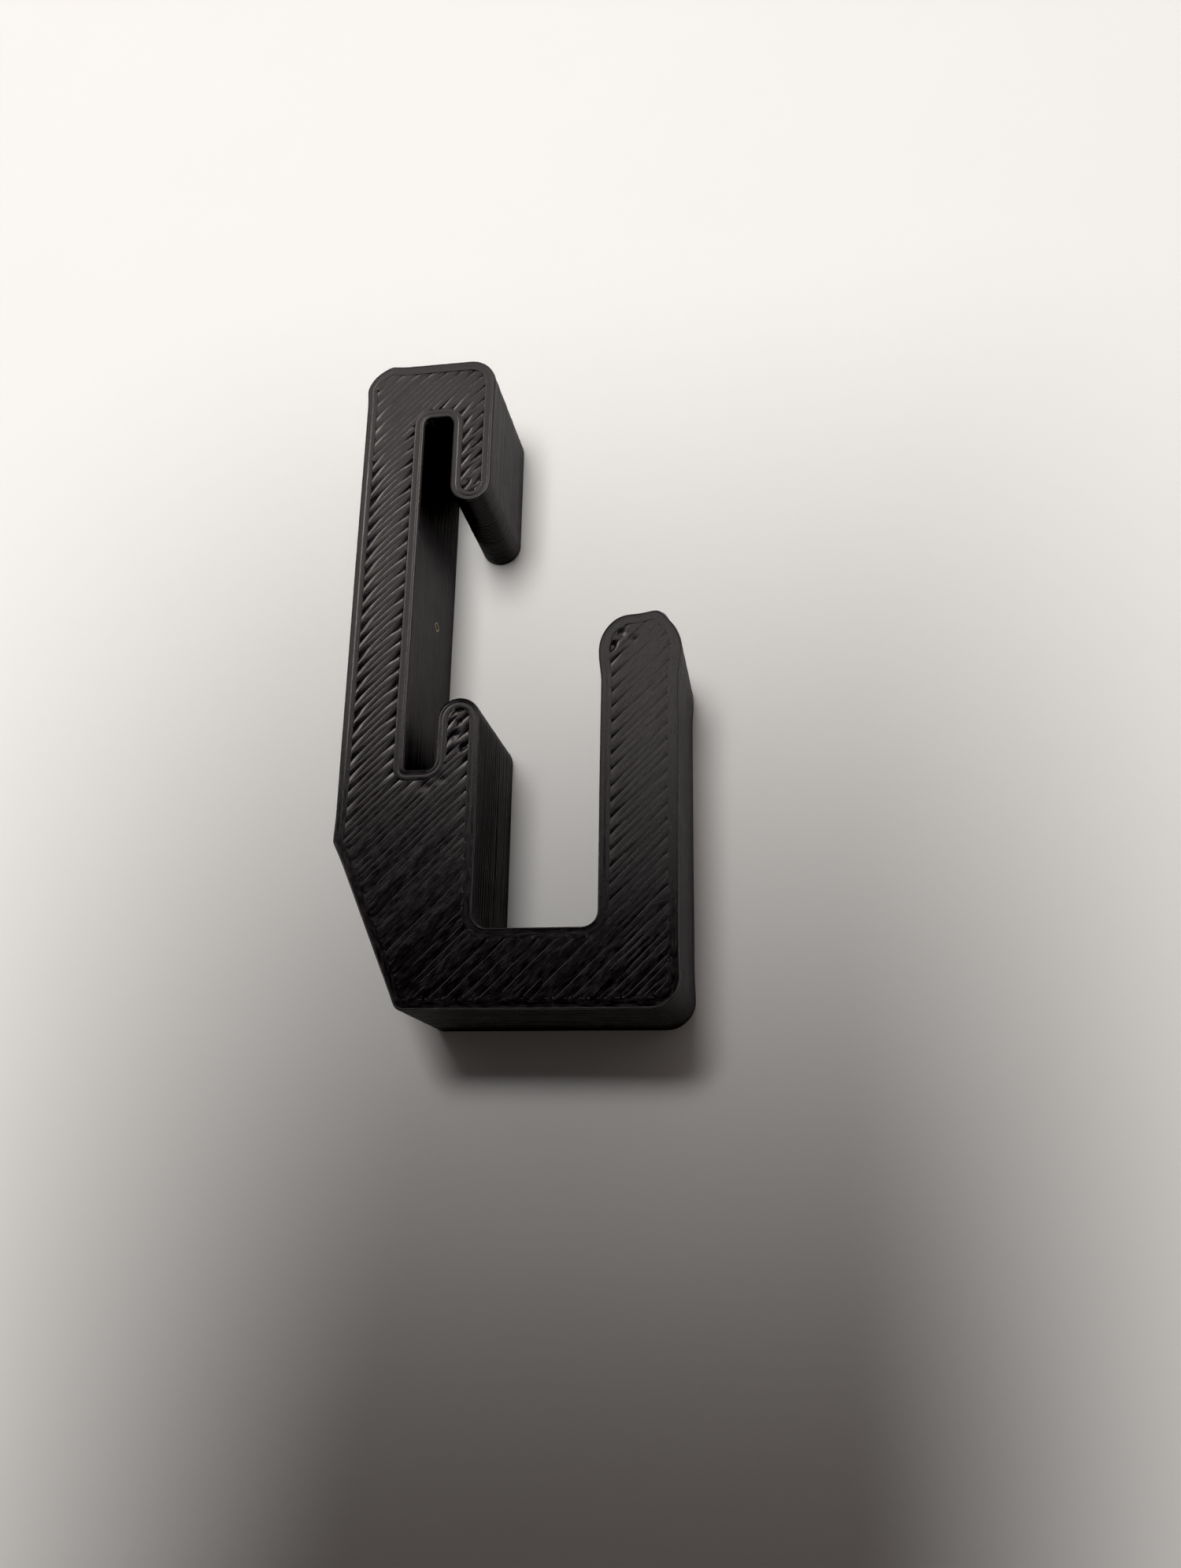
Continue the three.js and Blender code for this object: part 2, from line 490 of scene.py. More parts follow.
def wall_section(settings):
    """The section that runs round the outline: rows of inset, height and layer number.

    It starts under the hook, goes out over the pressed wall lines of the first layer, climbs one
    bulge for each layer, and comes back in over the crowns of the wall lines on the upper face."""
    pitch = settings.line_pitch
    thick = HIGH[2] - LOW[2]
    layer = thick / settings.layers
    band = WALL_LINES * pitch

    # underneath: flat lines with a shallow joint between them
    joint = np.array([-0.16, -0.07, 0.0, 0.07, 0.16]) * pitch
    dip = np.array([0.0, 0.3, 1.0, 0.3, 0.0]) * 0.03 * MM
    inner = np.stack([band + np.array([0.08, 0.02, -0.04]) * MM, np.array([0.06, 0.03, 0.0]) * MM], axis=1)
    middle = np.stack([pitch - joint, dip], axis=1)
    rim = np.stack([DRAWN_IN + np.array([0.16, 0.05, 0.0]) * MM, np.array([0.0, 0.02, 0.07]) * MM], axis=1)
    under = np.concatenate([inner, middle, rim])

    # the wall: a layer's side bulges, and the joints between layers are grooves
    share = np.array([0.0, 0.36, 0.64])
    bulge = np.array([1.0, 0.08, 0.08]) * settings.groove
    number = np.repeat(np.arange(1, settings.layers), len(share))
    height = number * layer + np.tile(share, settings.layers - 1) * layer
    wall = np.stack([DRAWN_IN + np.tile(bulge, settings.layers - 1), height], axis=1)

    # the upper face: a rounded edge, then one crown for each wall line
    bend = np.radians([25, 50, 72])
    edge = np.stack([DRAWN_IN + 0.15 * MM * (1 - np.cos(bend)),
                     thick - 0.08 * MM * (1 - np.sin(bend))], axis=1)
    across = np.array([-0.6, -0.3, 0.0, 0.3, 0.6, 0.85, 1.0])
    ridge = np.stack([np.array([0.13, 0.18, 0.24]) * MM, thick - np.array([0.0, 0.01, 0.02]) * MM], axis=1)
    first = np.stack([(0.5 + across[4:] / 2) * pitch,
                      thick - 0.02 * MM - settings.wall_drop * np.abs(across[4:]) ** 3], axis=1)
    first = np.concatenate([ridge, first])
    second = np.stack([(1.5 + across / 2) * pitch,
                       thick - settings.wall_drop * np.abs(across) ** 3], axis=1)
    drop = np.array([[band + 0.04 * MM, thick - 0.12 * MM], [band + 0.09 * MM, thick - 0.2 * MM]])
    rows = np.concatenate([under, wall, edge, first, second, drop])
    layer_number = np.concatenate([np.zeros(len(under)), number,
                                   np.full(len(rows) - len(under) - len(wall), settings.layers - 1)])
    return rows[:, 0], rows[:, 1], layer_number.astype(int)


def crease_rows(mesh, columns, creased):
    """Gives the edges that run along the creased rows of a grid a sharp fold."""
    ends = np.zeros(len(mesh.edges) * 2, dtype=np.int32)
    mesh.edges.foreach_get("vertices", ends)
    row = ends.reshape(-1, 2) // columns
    sharp = (row[:, 0] == row[:, 1]) & creased[row[:, 0]]
    mesh.attributes.new("sharp_edge", "BOOLEAN", "EDGE").data.foreach_set("value", sharp)


def printed_body(context, shape, settings, materials):
    """Sweeps the wall section round the side view and closes it above and below.

    A point is the outline moved in by the section's inset, pushed out by the swelling and by the
    layer's own wobble, at the section's height. The first material covers the side walls and the
    second the upper face's wall lines."""
    corners = side_view(shape)
    inset, height, number = wall_section(settings)
    base = Outline(corners)
    rng = np.random.default_rng(SEED + 1)
    columns = len(base.points)
    wobble = settings.wobble * (blurred_noise(rng, settings.layers, columns, 6)
                                + 0.8 * rng.normal(size=(settings.layers, 1)))
    share = np.arange(settings.layers) / (settings.layers - 1)
    push = swelling(shape, settings, base, share) + wobble
    rows = []
    for row_inset, row_height, layer in zip(inset, height, number):
        line = Outline(corners, row_inset)
        flat = line.points + line.outward * push[layer][:, None]
        rows.append(np.concatenate([flat, np.full((columns, 1), LOW[2] + row_height)], axis=1))
    vertices = np.concatenate(rows)
    # the wall lines' crowns are all that is near the top and in from the rounded edge
    crowns = (vertices[:, 2] > HIGH[2] - 0.05 * MM) & (np.repeat(inset, columns) > 0.2 * MM)
    flat_top = HIGH[2] - IRONED_DOWN
    share = relief(vertices[:, 0], vertices[:, 1])
    vertices[:, 2] = np.where(crowns, flat_top + (vertices[:, 2] - flat_top) * share, vertices[:, 2])
    vertices = np.clip(vertices, LOW, HIGH)
    faces = grid_faces(len(rows), columns, True)
    faces.append(list(range(columns))[::-1])
    faces.append(list(range((len(rows) - 1) * columns, len(rows) * columns)))
    along = np.tile(base.along / MM, len(rows))
    across = np.repeat(np.cumsum(np.hypot(np.gradient(inset), np.gradient(height))) / MM, columns)
    body = make_piece(context, "printed_body", vertices, faces, materials,
                      np.stack([along, across], axis=1), np.zeros(len(vertices)))
    upper = np.zeros(len(faces), dtype=np.int32)
    first_upper = np.argmax(height > HIGH[2] - LOW[2] - 0.07 * MM)
    upper[first_upper * columns:] = 1
    body.data.polygons.foreach_set("material_index", upper)
    crease_rows(body.data, columns, (number > 0) & (inset > DRAWN_IN + 0.9 * settings.groove)
                & (height < HIGH[2] - LOW[2] - 0.1 * MM))
    return body


# ---- the zig-zag lines that fill the faces ----

def crossings(outline_points, direction, offset):
    """Where the line at that offset across the direction enters and leaves the outline.

    Returned as rows of start and end, measured along the direction."""
    across = outline_points @ left_of(direction) - offset
    along = outline_points @ direction
    next_across = np.roll(across, -1)
    next_along = np.roll(along, -1)
    cut = (across < 0) != (next_across < 0)
    share = across[cut] / (across[cut] - next_across[cut])
    places = np.sort(along[cut] + share * (next_along[cut] - along[cut]))
    return places[:len(places) // 2 * 2].reshape(-1, 2)


def zig_zags(outline_points, angle, pitch):
    """The nozzle's paths that fill an outline: straight lines at an angle, joined end to end.

    Each line is followed by the next one along that starts beside its end. Where there is none, the
    path stops and another begins."""
    direction = np.array([math.cos(angle), math.sin(angle)])
    side = left_of(direction)
    reach = outline_points @ side
    longest_step = 2.6 * pitch
    done, growing = [], []
    for offset in np.arange(reach.min() + pitch / 2, reach.max(), pitch):
        spans = [(a, b) for a, b in crossings(outline_points, direction, offset) if b - a > 0.6 * pitch]
        ends = [np.array([a * direction + offset * side, b * direction + offset * side]) for a, b in spans]
        still_growing = []
        for path in growing:
            last_side = path["side"]
            near = [(np.linalg.norm(e[last_side] - path["points"][-1]), i) for i, e in enumerate(ends)
                    if e is not None]
            if near and min(near)[0] < longest_step:
                i = min(near)[1]
                path["points"] += [ends[i][last_side], ends[i][1 - last_side]]
                path["side"] = 1 - last_side
                ends[i] = None
                still_growing.append(path)
            else:
                done.append(path)
        for e in ends:
            if e is not None:
                still_growing.append({"points": [e[0], e[1]], "side": 1})
        growing = still_growing
    return [np.array(path["points"]) for path in done + growing if len(path["points"]) > 2]


def blur_along(values, reach):
    """Values blurred along a path with a bell curve, holding the first and last one."""
    half = int(3 * reach)
    bell = np.exp(-0.5 * (np.arange(-half, half + 1) / reach) ** 2)
    bell /= bell.sum()
    padded = np.concatenate([np.repeat(values[:1], half, axis=0), values,
                             np.repeat(values[-1:], half, axis=0)])
    return np.stack([np.convolve(padded[:, k], bell, mode="valid") for k in range(values.shape[1])], axis=1)


FINE_STEP = 0.04 * MM
KEEP_EVERY = 5


def nozzle_path(corners, long_pull):
    """A path through the corners as the plastic really lies: cut into fine steps, blurred over a
    short stretch to round the turns, and a little over a long one, which draws each pair of lines
    together where it turns. Also gives, for each point, the way along the path, the distance to the
    nearest turn, which way that turn goes (1 left, -1 right, 0 at the path's ends) and the line's
    number."""
    legs = np.diff(corners, axis=0)
    steps = np.linalg.norm(legs, axis=1)
    bend = np.sign(legs[:-1, 0] * legs[1:, 1] - legs[:-1, 1] * legs[1:, 0])
    bend = np.concatenate([[0.0], bend, [0.0]])
    at_corner = np.concatenate([[0.0], np.cumsum(steps)])
    along = np.arange(0, at_corner[-1], FINE_STEP)
    fine = np.stack([np.interp(along, at_corner, corners[:, k]) for k in (0, 1)], axis=1)
    short_blur = blur_along(fine, 0.15 * MM / FINE_STEP)
    long_blur = blur_along(fine, 0.75 * MM / FINE_STEP)
    path = (1 - long_pull) * short_blur + long_pull * long_blur
    nearest = np.searchsorted(at_corner, along)
    behind = np.maximum(nearest - 1, 0)
    ahead = np.minimum(nearest, len(at_corner) - 1)
    before = along - at_corner[behind]
    after = at_corner[ahead] - along
    closest = np.where(before < after, behind, ahead)
    keep = slice(None, None, KEEP_EVERY)
    return (path[keep], along[keep], np.minimum(before, after)[keep], bend[closest][keep], closest[keep],
            (behind // 2)[keep])


def relief(x, y):
    """How far the lines stand out at each place of the upper face, from 0 (ironed flat) to 1.

    It is a sum of smooth steps and bell curves over the side view, in millimetres from the spine's
    outer face and the floor's underside. It is full along the spine, the finger and the lip, about
    half on the arm and less at the arm's outer side, and almost nothing on the floor, except for
    two patches: in the corner under the arm and on the arm's end."""
    across = (x - LOW[0]) / MM
    upward = (y - LOW[1]) / MM
    spine = soft_step(upward, 9.0, 24.0) * (1 - soft_step(across, 12.0, 16.0))
    # weaker over the slot, and at the upper left more so
    spine *= 1 - 0.35 * soft_step(upward, 47.5, 50.0)
    spine *= 1 - 0.45 * soft_step(upward, 43.5, 46.0) * (1 - soft_step(across, 3.0, 5.0))
    arm = soft_step(across, 16.0, 19.0) * soft_step(upward, 6.0, 13.0)
    arm *= 0.40 - 0.28 * soft_step(across, 22.0, 24.0)
    corner = 0.9 * np.exp(-((across - 23.0) / 1.1) ** 2 - ((upward - 4.4) / 2.2) ** 2)
    knob = 0.5 * np.exp(-((across - 21.3) / 1.2) ** 2 - ((upward - 27.6) / 1.5) ** 2)
    return np.clip(0.12 + 0.90 * spine + arm + corner + knob, 0.0, 1.0)


def dips(x, y, places):
    """The depth of small round pits at each point, for rows of pit place, depth and radius.

    Places count from the spine's outer face and the floor's underside."""
    total = np.zeros(np.shape(x))
    for pit_x, pit_y, deep, radius in places:
        away = ((x - LOW[0] - pit_x) ** 2 + (y - LOW[1] - pit_y) ** 2) / radius ** 2
        total += deep * np.exp(-away)
    return total


ACROSS = np.array([-1.0, -0.86, -0.66, -0.36, 0.0, 0.36, 0.66, 0.86, 1.0])


def no_lean(distance):
    """The same height on both sides of a line."""
    return 0.0 * distance


def steady(value):
    """The same value at any distance from a turn."""
    return lambda distance: np.full(len(distance), value)


def everywhere(x, y):
    """The same strength at every place."""
    return np.ones(np.shape(x))


def lay_lines(paths, crown, drop, roundness, half_width, foot, rng, lean=no_lean, where=everywhere,
              pits=(), long_pull=0.0):
    """Sweeps a line of plastic along each path.

    Across the line, the height is the crown less the drop times the distance from the middle to the
    power of the roundness, and the side away from the turn is lower by the lean. All four are
    functions of the distance to the nearest turn. Each turn's lean is a little different. Where
    gives the share of the relief that is there at a place: the lean goes first, the groove between
    the lines last, and a flat line is a little wider. The two lower points of the section are at
    the foot. Returns vertices, faces, UV and tone."""
    vertices, faces, uv, tones = [], [], [], []
    first = 0
    size = len(ACROSS) + 2
    for corners in paths:
        path, along, turn, bend, corner, line_number = nozzle_path(corners, long_pull)
        stations = len(path)
        left = left_of(unit(np.gradient(path, axis=0)))
        tone = rng.uniform(-1, 1, line_number.max() + 1)[line_number]
        ripple = blur_along(rng.normal(size=(stations, 2)), 3.0) * 2.0
        taper = np.minimum(1.0, 0.35 + np.minimum(along, along[-1] - along) / (0.3 * MM))
        width = half_width * taper * (1 + 0.05 * ripple[:, 0])
        share = where(path[:, 0], path[:, 1])
        width *= 1 + 0.10 * (1 - share)
        top = crown(turn) + share * 0.006 * MM * (ripple[:, 1] + tone)
        shape = np.abs(ACROSS)[None] ** roundness(turn)[:, None]
        height = top[:, None] - (drop(turn) * share ** 0.9)[:, None] * shape
        strength = rng.uniform(0.55, 1.25, len(corners))[corner // 2 * 2]
        away = (1 - ACROSS[None] * bend[:, None]) / 2 * np.abs(bend)[:, None]
        strength = blur_along(strength[:, None], 2.0)[:, 0] * share ** 1.4
        height -= (lean(turn) * strength)[:, None] * away
        height = np.concatenate([np.full((stations, 1), foot), height, np.full((stations, 1), foot)], axis=1)
        across = np.concatenate([[-0.9], ACROSS, [0.9]])
        flat = path[:, None] + left[:, None] * (width[:, None] * across[None])[..., None]
        height[:, 1:-1] -= dips(flat[:, 1:-1, 0], flat[:, 1:-1, 1], pits)
        vertices.append(np.concatenate([flat, height[..., None]], axis=2).reshape(-1, 3))
        ring = np.arange(size)
        quads = grid_faces(stations, size, True, first)
        faces += [q[::-1] for q in quads]
        faces.append((ring + first).tolist())
        faces.append((ring + first + (stations - 1) * size)[::-1].tolist())
        u = np.repeat(along / MM, size)
        v = np.tile(across * 0.2, stations)
        uv.append(np.stack([u, v + len(uv) * 7.0], axis=1))
        tones.append(np.repeat(tone, size))
        first += stations * size
    return np.concatenate(vertices), faces, np.concatenate(uv), np.concatenate(tones)


def pushed_outline(shape, settings, inset):
    """The points of the side view moved in by the inset, with the swelling at the top of the print,
    and the plain outline that they match."""
    base = Outline(side_view(shape))
    line = Outline(side_view(shape), inset)
    push = swelling(shape, settings, base, np.array([1.0]))[0]
    return line.points + line.outward * push[:, None], base


def filling(shape, settings, degrees):
    """The nozzle's paths that fill a face inside its wall lines, at an angle."""
    region = pushed_outline(shape, settings, settings.turn_inset)[0]
    return zig_zags(region, math.radians(degrees), settings.line_pitch)


# Small round pits in the upper face. Each has its place, its depth and its radius in millimetres.
KNOB_PITS = ((20.9, 27.5, 0.20, 0.34), (21.7, 28.5, 0.16, 0.28), (22.6, 27.9, 0.08, 0.34))
LIP_PITS = ((9.4, 23.0, 0.25, 0.18), (9.0, 20.75, 0.14, 0.28), (9.7, 19.8, 0.16, 0.24),
            (9.3, 21.8, 0.08, 0.20))
FINGER_PITS = ((9.3, 46.3, 0.07, 0.25), (8.8, 42.7, 0.06, 0.22))
FOOT_PITS = ((6.9, 16.8, 0.05, 0.30), (8.1, 17.3, 0.05, 0.25))
TURN_REACH = 1.2 * MM        # how far from a turn its lean and its deeper groove still show


def upper_skin(context, shape, settings, material):
    """The lines that fill the upper face, from lower left to upper right.

    In the middle of the face they are ironed nearly flat. Towards each turn they are rounder and
    the groove beside them is deeper, so that every second pair stands out along the edge."""
    rng = np.random.default_rng(SEED + 2)
    paths = filling(shape, settings, 45)
    top = HIGH[2]

    def near_turn(distance):
        return np.exp(-(distance / TURN_REACH) ** 2)

    pits = np.array(KNOB_PITS + LIP_PITS + FINGER_PITS + FOOT_PITS) * MM
    vertices, faces, uv, tone = lay_lines(
        paths, where=relief, pits=pits,
        crown=lambda d: top - IRONED_DOWN + 0.008 * MM * near_turn(d),
        drop=lambda d: settings.skin_drop + (settings.turn_drop - settings.skin_drop) * near_turn(d),
        roundness=lambda d: 2.4 - 0.3 * near_turn(d),
        lean=lambda d: settings.turn_lean * near_turn(d),
        half_width=0.53 * settings.line_pitch, foot=top - 0.26 * MM, rng=rng, long_pull=0.05)
    return make_piece(context, "upper_skin", np.clip(vertices, LOW, HIGH), faces, [material], uv, tone)


def edge_stretch(shape, settings, start, end, inset):
    """The stretch of the upper edge, moved in by the inset, from near start to near end."""
    points, base = pushed_outline(shape, settings, inset)
    first = np.argmin(np.abs(base.distance_from(*start)))
    last = np.argmin(np.abs(base.distance_from(*end)))
    count = (last - first) % len(points)
    return points[np.arange(first, first + count + 1) % len(points)]


def edge_beads(context, shape, settings, material):
    """Thin beads that stand on the upper edge: round the lip's slot side, up the spine beside the
    slot, and along the foot and the floor."""
    rng = np.random.default_rng(SEED + 4)
    top = HIGH[2]
    front = shape.spine_width + shape.slot_width
    wide = [edge_stretch(shape, settings, (front + 0.9 * MM, shape.lip_top - 0.2 * MM),
                         (shape.spine_width + 1.4 * MM, shape.slot_bottom), 0.30 * MM)]
    thin = [
        edge_stretch(shape, settings, (shape.spine_width, shape.slot_bottom + 0.3 * MM),
                     (shape.spine_width, shape.slot_bottom + 4.2 * MM), 0.16 * MM),
        edge_stretch(shape, settings, (2.2 * MM, shape.cut_height - 5.0 * MM),
                     (24.9 * MM, 0.6 * MM), 0.14 * MM),
        edge_stretch(shape, settings, (front + 0.5 * MM, shape.lip_top - 0.5 * MM),
                     (front, shape.slot_bottom + 0.6 * MM), 0.58 * MM),
    ]
    parts = []
    for paths, half_width in ((wide, 0.20 * MM), (thin, 0.07 * MM)):
        parts.append(lay_lines(
            paths, crown=steady(top - 0.005 * MM), drop=steady(0.15 * MM), roundness=steady(2.0),
            half_width=half_width, foot=top - 0.2 * MM, rng=rng))
    shift = len(parts[0][0])
    vertices = np.concatenate([part[0] for part in parts])
    faces = parts[0][1] + [[corner + shift for corner in face] for face in parts[1][1]]
    uv, tone = (np.concatenate([part[k] for part in parts]) for k in (2, 3))
    return make_piece(context, "edge_beads", np.clip(vertices, LOW, HIGH), faces, [material], uv, tone)


SCAR_STATIONS = 60           # along the loop
SCAR_SIDES = 8               # round the thread
SCAR_RADIUS = 0.07 * MM


def wall_scar(context, shape, material):
    """A small pale loop, dragged by the nozzle, on the spine's face inside the slot.

    It is a round thread of 0.07 mm radius whose middle line is a little more than one turn of an
    uneven ellipse on the wall."""
    middle = np.array([LOW[0] + shape.spine_width - DRAWN_IN, LOW[1] + 32.85 * MM, 4.9 * MM])
    turn = np.linspace(0.4, 0.4 + 2.12 * math.pi, SCAR_STATIONS)
    wide = 0.30 * MM * (1 + 0.25 * np.sin(3 * turn))
    path = middle + np.stack([0.0 * turn, wide * np.cos(turn), 0.46 * MM * np.sin(turn)], axis=1)
    ahead = unit(np.gradient(path, axis=0))
    out = np.array([1.0, 0.0, 0.0])
    beside = np.cross(ahead, out)
    angle = np.linspace(0, 2 * math.pi, SCAR_SIDES, endpoint=False)
    radius = SCAR_RADIUS * np.minimum(1, 0.2 + 6 * np.sin(np.linspace(0, math.pi, SCAR_STATIONS)))
    ring = np.cos(angle)[None, :, None] * out + np.sin(angle)[None, :, None] * beside[:, None]
    vertices = (path[:, None] + radius[:, None, None] * ring).reshape(-1, 3)
    faces = [f[::-1] for f in grid_faces(SCAR_STATIONS, SCAR_SIDES, True)]
    end = np.arange(SCAR_SIDES)
    faces += [end.tolist(), (end + len(vertices) - SCAR_SIDES)[::-1].tolist()]
    return make_piece(context, "wall_scar", vertices, faces, [material])


def first_layer(context, shape, settings, material):
    """The lines of the first layer, pressed flat on the bed, at right angles to the upper ones."""
    rng = np.random.default_rng(SEED + 3)
    paths = filling(shape, settings, -45)
    vertices, faces, uv, tone = lay_lines(
        paths, crown=steady(-LOW[2]), drop=steady(0.05 * MM), roundness=steady(7.0),
        half_width=0.52 * settings.line_pitch, foot=-0.2 * MM, rng=rng)
    vertices[:, 2] *= -1                       # laid upside down, so its faces turn too
    faces = [f[::-1] for f in faces]
    return make_piece(context, "first_layer", np.clip(vertices, LOW, HIGH), faces, [material], uv, tone)


# ---- stage ----

def area_lamp(context, name, shape, wide, tall, radiance, colour):
    """An area light. Its power is the radiance times pi times its area."""
    lamp = bpy.data.lights.new(name, "AREA")
    lamp.shape = shape
    lamp.size, lamp.size_y = wide, tall
    area = lamp.size * lamp.size_y * (math.pi / 4 if shape == "ELLIPSE" else 1.0)
    lamp.energy = radiance * math.pi * area
    lamp.color = colour[:3]
    light = bpy.data.objects.new(name, lamp)
    context.collection.objects.link(light)
    return light


def soft_light(context, name, height, lean, half, radiance, colour, shape="ELLIPSE"):
    """An area light that points straight down.

    lean and half are its middle and half its size seen from the hook, each as the tangent of an
    angle from straight up."""
    light = area_lamp(context, name, shape, 2 * half[0] * height, 2 * half[1] * height, radiance, colour)
    light.location = (lean[0] * height, lean[1] * height, height)
    return light


ROOM_RADIANCE = 1.0


def room_glow(context, name, way, colour):
    """A dim upright panel of the room beside the table, seen only in the reflections of the walls."""
    distance, middle, wide, tall = 0.55, 0.17, 0.55, 0.24
    panel = area_lamp(context, name, "RECTANGLE", wide, tall, ROOM_RADIANCE, colour)
    place = Vector((way[0] * distance, way[1] * distance, middle))
    panel.matrix_world = Matrix.Translation(place) @ place.to_track_quat("Z", "Y").to_matrix().to_4x4()
    panel.visible_diffuse = False
    panel.visible_camera = False


def camera_axes(place, aim, roll):
    """The camera's turn: its back along the line of sight, its top as near to +Y as that allows,
    then rolled."""
    back = (Vector(place) - Vector(aim)).normalized()
    right = Vector((0, 1, 0)).cross(back).normalized()
    top = back.cross(right)
    turn = Matrix((right, top, back)).transposed()
    return turn @ Matrix.Rotation(roll, 3, "Z")


# ---- operators ----

class HOOK_OT_printed_body(Operator):
    """Make the printed walls and the wall lines round both faces"""
    bl_idname = "hook.printed_body"
    bl_label = "Printed body"

    def execute(self, context):
        scene = context.scene
        plastic = scene.hook_plastic
        material = printed_black("black_pla_walls", plastic, plastic.wall_roughness,
                                 spread=0.05, grain=0.0015 * MM, streak=0.008 * MM)
        upper = skin_black("black_pla_upper_wall_lines", plastic)
        settle(printed_body(context, scene.hook_shape, scene.hook_print, [material, upper]), CAD_NODE)
        return {"FINISHED"}


class HOOK_OT_upper_skin(Operator):
    """Make the zig-zag lines of the upper face"""
    bl_idname = "hook.upper_skin"
    bl_label = "Upper skin"

    def execute(self, context):
        scene = context.scene
        material = skin_black("black_pla_skin_lines", scene.hook_plastic)
        settle(upper_skin(context, scene.hook_shape, scene.hook_print, material))
        return {"FINISHED"}


class HOOK_OT_edge_beads(Operator):
    """Make the thin beads that stand on the upper edge"""
    bl_idname = "hook.edge_beads"
    bl_label = "Edge beads"

    def execute(self, context):
        scene = context.scene
        material = skin_black("black_pla_beads", scene.hook_plastic)
        settle(edge_beads(context, scene.hook_shape, scene.hook_print, material))
        return {"FINISHED"}


class HOOK_OT_wall_scar(Operator):
    """Make the small pale loop inside the slot"""
    bl_idname = "hook.wall_scar"
    bl_label = "Wall scar"

    def execute(self, context):
        scene = context.scene
        material = stressed_plastic(scene.hook_plastic)
        settle(wall_scar(context, scene.hook_shape, material))
        return {"FINISHED"}


class HOOK_OT_first_layer(Operator):
    """Make the pressed lines of the first layer"""
    bl_idname = "hook.first_layer"
    bl_label = "First layer"

    def execute(self, context):
        scene = context.scene
        plastic = scene.hook_plastic
        material = printed_black("black_pla_first_layer", plastic, plastic.base_roughness,
                                 spread=0.04, grain=0.002 * MM, streak=0.004 * MM)
        settle(first_layer(context, scene.hook_shape, scene.hook_print, material))
        return {"FINISHED"}


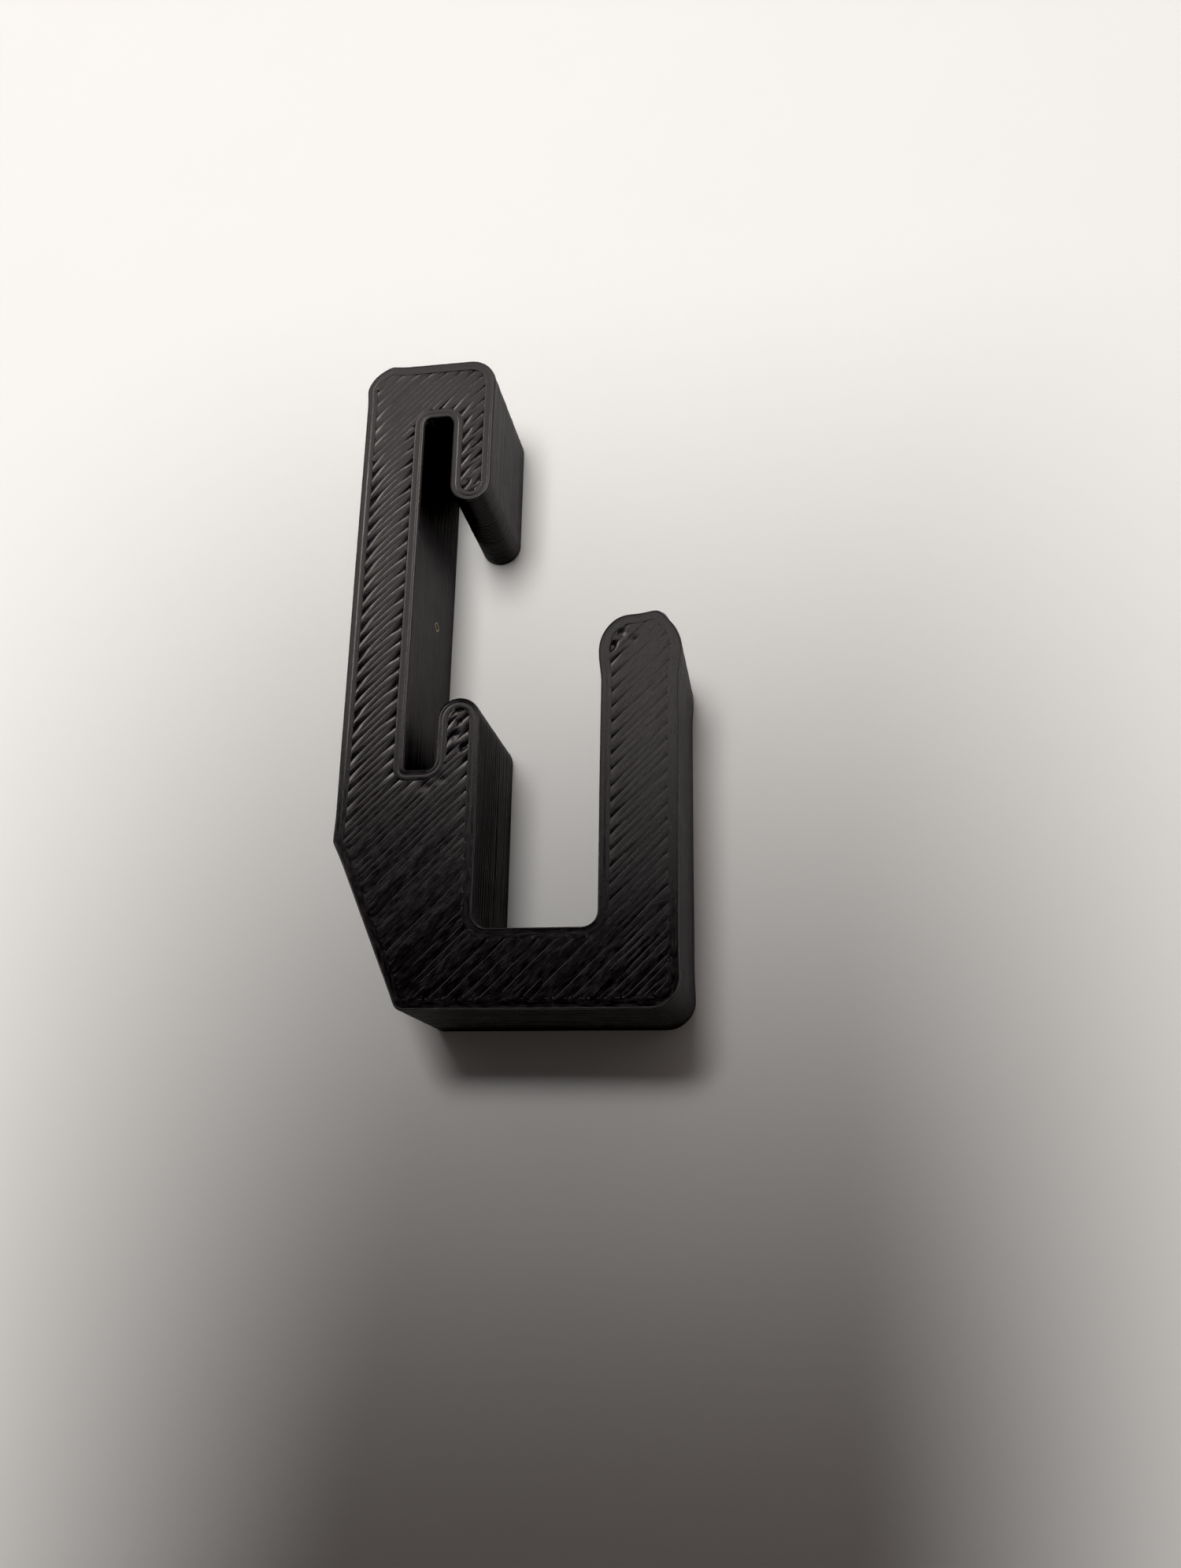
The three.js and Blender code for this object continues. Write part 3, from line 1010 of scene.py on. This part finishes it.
class HOOK_OT_stage(Operator):
    """Make the table, the soft light, the card that shades the near side, and the camera"""
    bl_idname = "hook.stage"
    bl_label = "Stage"

    def execute(self, context):
        settings = context.scene.hook_stage
        self.table(context, settings)
        self.light(context, settings)
        self.camera(context, settings)
        return {"FINISHED"}

    def table(self, context, settings):
        """A smooth, pale laminate table top, far wider than the view."""
        material, tree = new_material("pale_laminate")
        place = add_node(tree, "ShaderNodeTexCoord").outputs["Object"]
        mottle = noise(tree, place, 0.12 * PER_MM, 4.0)
        shade = remap(tree, mottle, (0.0, 1.0), (0.985, 1.0))
        tint = add_node(tree, "ShaderNodeMix", {"data_type": "RGBA", "blend_type": "MULTIPLY"}, in_0=1.0,
                        in_6=linear(settings.table), in_7=shade)
        finish_material(tree, base_color=tint.outputs[2], roughness=0.75)
        reach = 1.6
        steps = np.linspace(-reach, reach, 9)
        x, y = np.meshgrid(steps, steps)
        vertices = np.stack([x.ravel(), y.ravel(), np.full(x.size, LOW[2])], axis=1)
        top = make_piece(context, "table_top", vertices, grid_faces(9, 9, False), [material])

    def light(self, context, settings):
        """A broad ceiling light, a dark card that shades the near side, and a dim room."""
        height = settings.light_height
        white = linear("#FFFEFC")
        main = soft_light(context, "ceiling_light", height, (-0.085, 0.132), (0.18, 0.345),
                          settings.light_radiance, white)
        main.visible_glossy = False
        warm = linear("#FFF4F0")
        # Seen only in reflections. Each hangs at its own height, as lamps in one plane hide each other.
        sheens = (
            ("window_sheen", 0.02, (-0.95, 1.05), (0.30, 0.65), 5.8, linear("#FFF6EE"), "ELLIPSE"),
            ("wall_sheen", 0.04, (-0.2, 0.83), (0.7, 0.49), 1.3, warm, "RECTANGLE"),
            ("side_sheen", 0.06, (0.15, 0.26), (0.35, 0.15), 0.55, warm, "RECTANGLE"),
        )
        for name, lower, *rest in sheens:
            sheen = soft_light(context, name, height - lower, *rest)
            sheen.visible_diffuse = False
        panels = {"near_room": (0.1, -1.0), "left_room": (-1.0, 0.1), "right_room": (1.0, -0.2)}
        for name, panel_way in panels.items():
            room_glow(context, name, panel_way, warm)
        self.card(context, settings)
        self.room(context, settings)

    def room(self, context, settings):
        """A dim room that is brighter low down and towards the window side."""
        world = bpy.data.worlds.new("dim_room")
        context.scene.world = world
        world.use_nodes = True
        tree = world.node_tree
        tree.nodes.clear()
        way = add_node(tree, "ShaderNodeTexCoord").outputs["Generated"]
        up = add_node(tree, "ShaderNodeSeparateXYZ", vector=way).outputs["Z"]
        smooth = {"interpolation_type": "SMOOTHSTEP"}
        skirting = remap(tree, up, (0.03, 0.10), (0.55, 0.0), smooth)
        toward = add_node(tree, "ShaderNodeVectorMath", {"operation": "DOT_PRODUCT"}, in_0=way,
                          in_1=(0.75, 0.66, 0.0)).outputs["Value"]
        bright_side = remap(tree, toward, (0.0, 0.9), (0.0, 1.8), smooth)
        low = remap(tree, up, (0.12, 0.45), (1.0, 0.0), smooth)
        glow = maths(tree, "MULTIPLY", bright_side, low)
        level = maths(tree, "MAXIMUM", maths(tree, "MAXIMUM", glow, skirting), settings.fill)
        sky = add_node(tree, "ShaderNodeBackground", color=linear("#FFF3F0"), strength=level)
        add_node(tree, "ShaderNodeOutputWorld", surface=sky.outputs[0])

    def card(self, context, settings):
        """A black card just behind the camera, square to its line of sight."""
        axes = np.array(camera_axes(settings.camera_place, settings.camera_aim, settings.camera_roll))
        right, top, back = axes.T
        centre = np.array(settings.camera_place) + back * 3 * MM
        sides = np.array([-65, 7]) * MM            # left and right of the line of sight
        ends = np.array([-150, 52.6]) * MM         # below and above it
        corners = [(sides[0], ends[0]), (sides[1], ends[0]), (sides[1], ends[1]), (sides[0], ends[1])]
        vertices = np.array([centre + right * a + top * b for a, b in corners])
        material, tree = new_material("black_card")
        finish_material(tree, base_color=linear("#161616"), roughness=0.8)
        card = make_piece(context, "shade_card", vertices, [[0, 1, 2, 3]], [material])
        card.visible_camera = False

    def camera(self, context, settings):
        """The camera above the hook's lower right, looking down at it."""
        lens = bpy.data.cameras.new("camera")
        lens.lens = settings.lens
        lens.sensor_width = 36.0
        lens.clip_start = 0.001
        camera = bpy.data.objects.new("camera", lens)
        axes = camera_axes(settings.camera_place, settings.camera_aim, settings.camera_roll)
        camera.matrix_world = Matrix.Translation(settings.camera_place) @ axes.to_4x4()
        context.collection.objects.link(camera)
        context.scene.camera = camera
        view = context.scene.view_settings
        view.view_transform = "Standard"
        view.use_curve_mapping = True
        view.curve_mapping.black_level = (0.005, 0.005, 0.005)
        view.curve_mapping.update()


class HOOK_PT_panel(Panel):
    """Lists the hook's pieces and the stage"""
    bl_idname = "HOOK_PT_panel"
    bl_label = "Printed hook"
    bl_space_type = "VIEW_3D"
    bl_region_type = "UI"
    bl_category = "Hook"

    def draw(self, context):
        for name in STEPS:
            self.layout.operator("hook." + name)


GROUPS = {"hook_shape": HookShape, "hook_print": HookPrint, "hook_plastic": HookPlastic,
          "hook_stage": HookStage}
STEPS = ("printed_body", "upper_skin", "edge_beads", "wall_scar", "first_layer", "stage")
CLASSES = (*GROUPS.values(), HOOK_OT_printed_body, HOOK_OT_upper_skin, HOOK_OT_edge_beads,
           HOOK_OT_wall_scar, HOOK_OT_first_layer, HOOK_OT_stage, HOOK_PT_panel)


def register():
    for each in CLASSES:
        bpy.utils.register_class(each)
    for name, group in GROUPS.items():
        setattr(bpy.types.Scene, name, PointerProperty(type=group))


def unregister():
    for name in GROUPS:
        delattr(bpy.types.Scene, name)
    for each in reversed(CLASSES):
        bpy.utils.unregister_class(each)


def main():
    """Registers the add-on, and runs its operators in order."""
    register()
    for name in STEPS:
        getattr(bpy.ops.hook, name)()
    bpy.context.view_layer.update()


if __name__ == "__main__":
    main()
